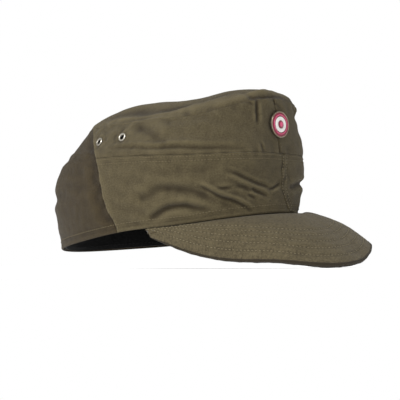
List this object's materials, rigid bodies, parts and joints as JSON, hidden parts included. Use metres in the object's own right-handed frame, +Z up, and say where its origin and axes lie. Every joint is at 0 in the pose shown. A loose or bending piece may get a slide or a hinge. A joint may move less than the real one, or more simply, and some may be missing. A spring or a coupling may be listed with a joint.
{
  "type": "military peaked cap",
  "caption": "Soft olive field cap with a two-tier crown, a stiff sewn visor, side vent eyelets and a round concentric-ring cockade at the front.",
  "frame": {"origin": "The middle of the opening that the head goes into, inside the hem.", "axes": "+Z up through the crown. The front and the visor face -Y, and the wearer's right is -X."},
  "size_m": [0.1742, 0.2789, 0.1433],
  "materials": {
    "olive_twill": "olive brown cotton twill, washed, with tonal stitching",
    "dark_binding": "dark olive folded edge binding",
    "black_lining": "black plain-weave lining",
    "black_sweatband": "black woven sweatband with a soft sheen",
    "buckram": "stiff open-weave interlining",
    "visor_board": "stiff flexible visor board",
    "aged_metal": "aged nickel-plated vent eyelet",
    "bright_metal": "pressed metal with a worn bright rim",
    "red_enamel": "crimson red enamel, softly glossy",
    "white_enamel": "white enamel, softly glossy"
  },
  "bodies": {
    "root": {"top_panel": "olive_twill", "crown_side_right": "olive_twill", "crown_side_left": "olive_twill", "back_panel": "olive_twill", "band_right": "olive_twill", "band_left": "olive_twill", "front_seam_strip": "olive_twill", "front_interlining": "buckram", "top_lining": "black_lining", "side_lining_right": "black_lining", "side_lining_left": "black_lining", "sweatband": "black_sweatband", "visor_top_cover": "olive_twill", "visor_board": "visor_board", "visor_under_cover": "olive_twill", "visor_binding": "dark_binding", "vent_eyelets": "aged_metal", "eyelet_washers": "aged_metal", "cockade_base": "bright_metal", "cockade_red_ring": "red_enamel", "cockade_white_ring": "white_enamel", "cockade_centre": "red_enamel", "cockade_prongs": "bright_metal", "cockade_washer": "bright_metal"}
  },
  "joints": []
}
